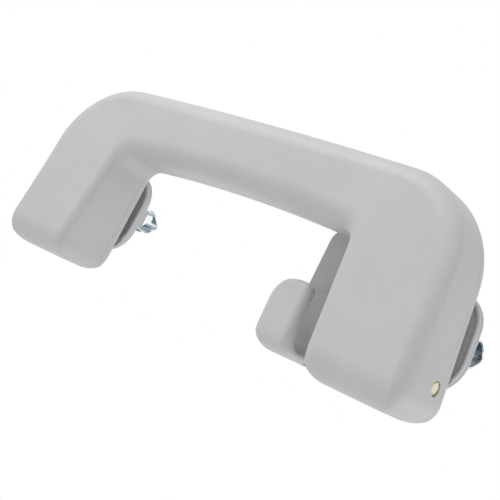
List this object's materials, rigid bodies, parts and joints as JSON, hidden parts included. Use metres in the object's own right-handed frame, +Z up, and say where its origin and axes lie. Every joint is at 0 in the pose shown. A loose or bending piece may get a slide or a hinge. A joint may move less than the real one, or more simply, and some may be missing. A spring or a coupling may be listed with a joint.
{
  "type": "fold-down roof grab handle",
  "caption": "U-shaped fold-down roof grab handle: a hollow grip hinged on two clip-in bases, with a return spring, a damper and a coat hook.",
  "frame": {"origin": "midway between the two bases, on the roof panel they seat against, level with the hinge axis", "axes": "+X along the bar towards the coat hook's end, +Y into the roof panel, +Z up the arms from the hinge to the bar"},
  "size_m": [0.2222, 0.0704, 0.0841],
  "materials": {
    "shell_plastic": "satin light grey moulding with a fine even grain",
    "base_plastic": "satin mid grey moulding",
    "zinc_spring_steel": "bright zinc plated spring strip",
    "yellow_zinc_steel": "yellow passivated zinc plate, cropped pin end",
    "plain_steel": "plain drawn steel",
    "damper_plastic": "black moulded acetal"
  },
  "bodies": {
    "right_base": {"right_base_bracket": "base_plastic", "right_spring_clip": "zinc_spring_steel", "right_lock_plug": "base_plastic", "coat_hook": "base_plastic", "right_spring_sleeve": "damper_plastic", "right_torsion_spring": "plain_steel"},
    "grip": {"grip_front_shell": "shell_plastic", "grip_back_cover": "shell_plastic", "cover_screw_1": "plain_steel", "cover_screw_2": "plain_steel", "cover_screw_3": "plain_steel", "cover_screw_4": "plain_steel", "left_hinge_pin": "yellow_zinc_steel", "right_hinge_pin": "yellow_zinc_steel", "left_damper_housing": "damper_plastic", "left_damper_lid": "damper_plastic"},
    "left_base": {"left_base_bracket": "base_plastic", "left_spring_clip": "zinc_spring_steel", "left_lock_plug": "base_plastic", "left_damper_rotor": "damper_plastic"}
  },
  "joints": [
    {"name": "grip_hinge", "type": "hinge", "parent": "right_base", "child": "grip", "pos_m": [0, -0.0173, 0], "axis": [1, 0, 0], "range_deg": [0, 90], "stiffness_Nm_per_rad": 0.03, "springref_deg": -89.95, "deforming": ["right_torsion_spring"]},
    {"name": "left_base_hinge", "type": "hinge", "parent": "grip", "child": "left_base", "pos_m": [0, -0.0173, 0], "axis": [1, 0, 0], "range_deg": [-90, 0]}
  ],
  "couplings": [
    {"joint": "left_base_hinge", "follows": "grip_hinge", "ratio": -1}
  ]
}
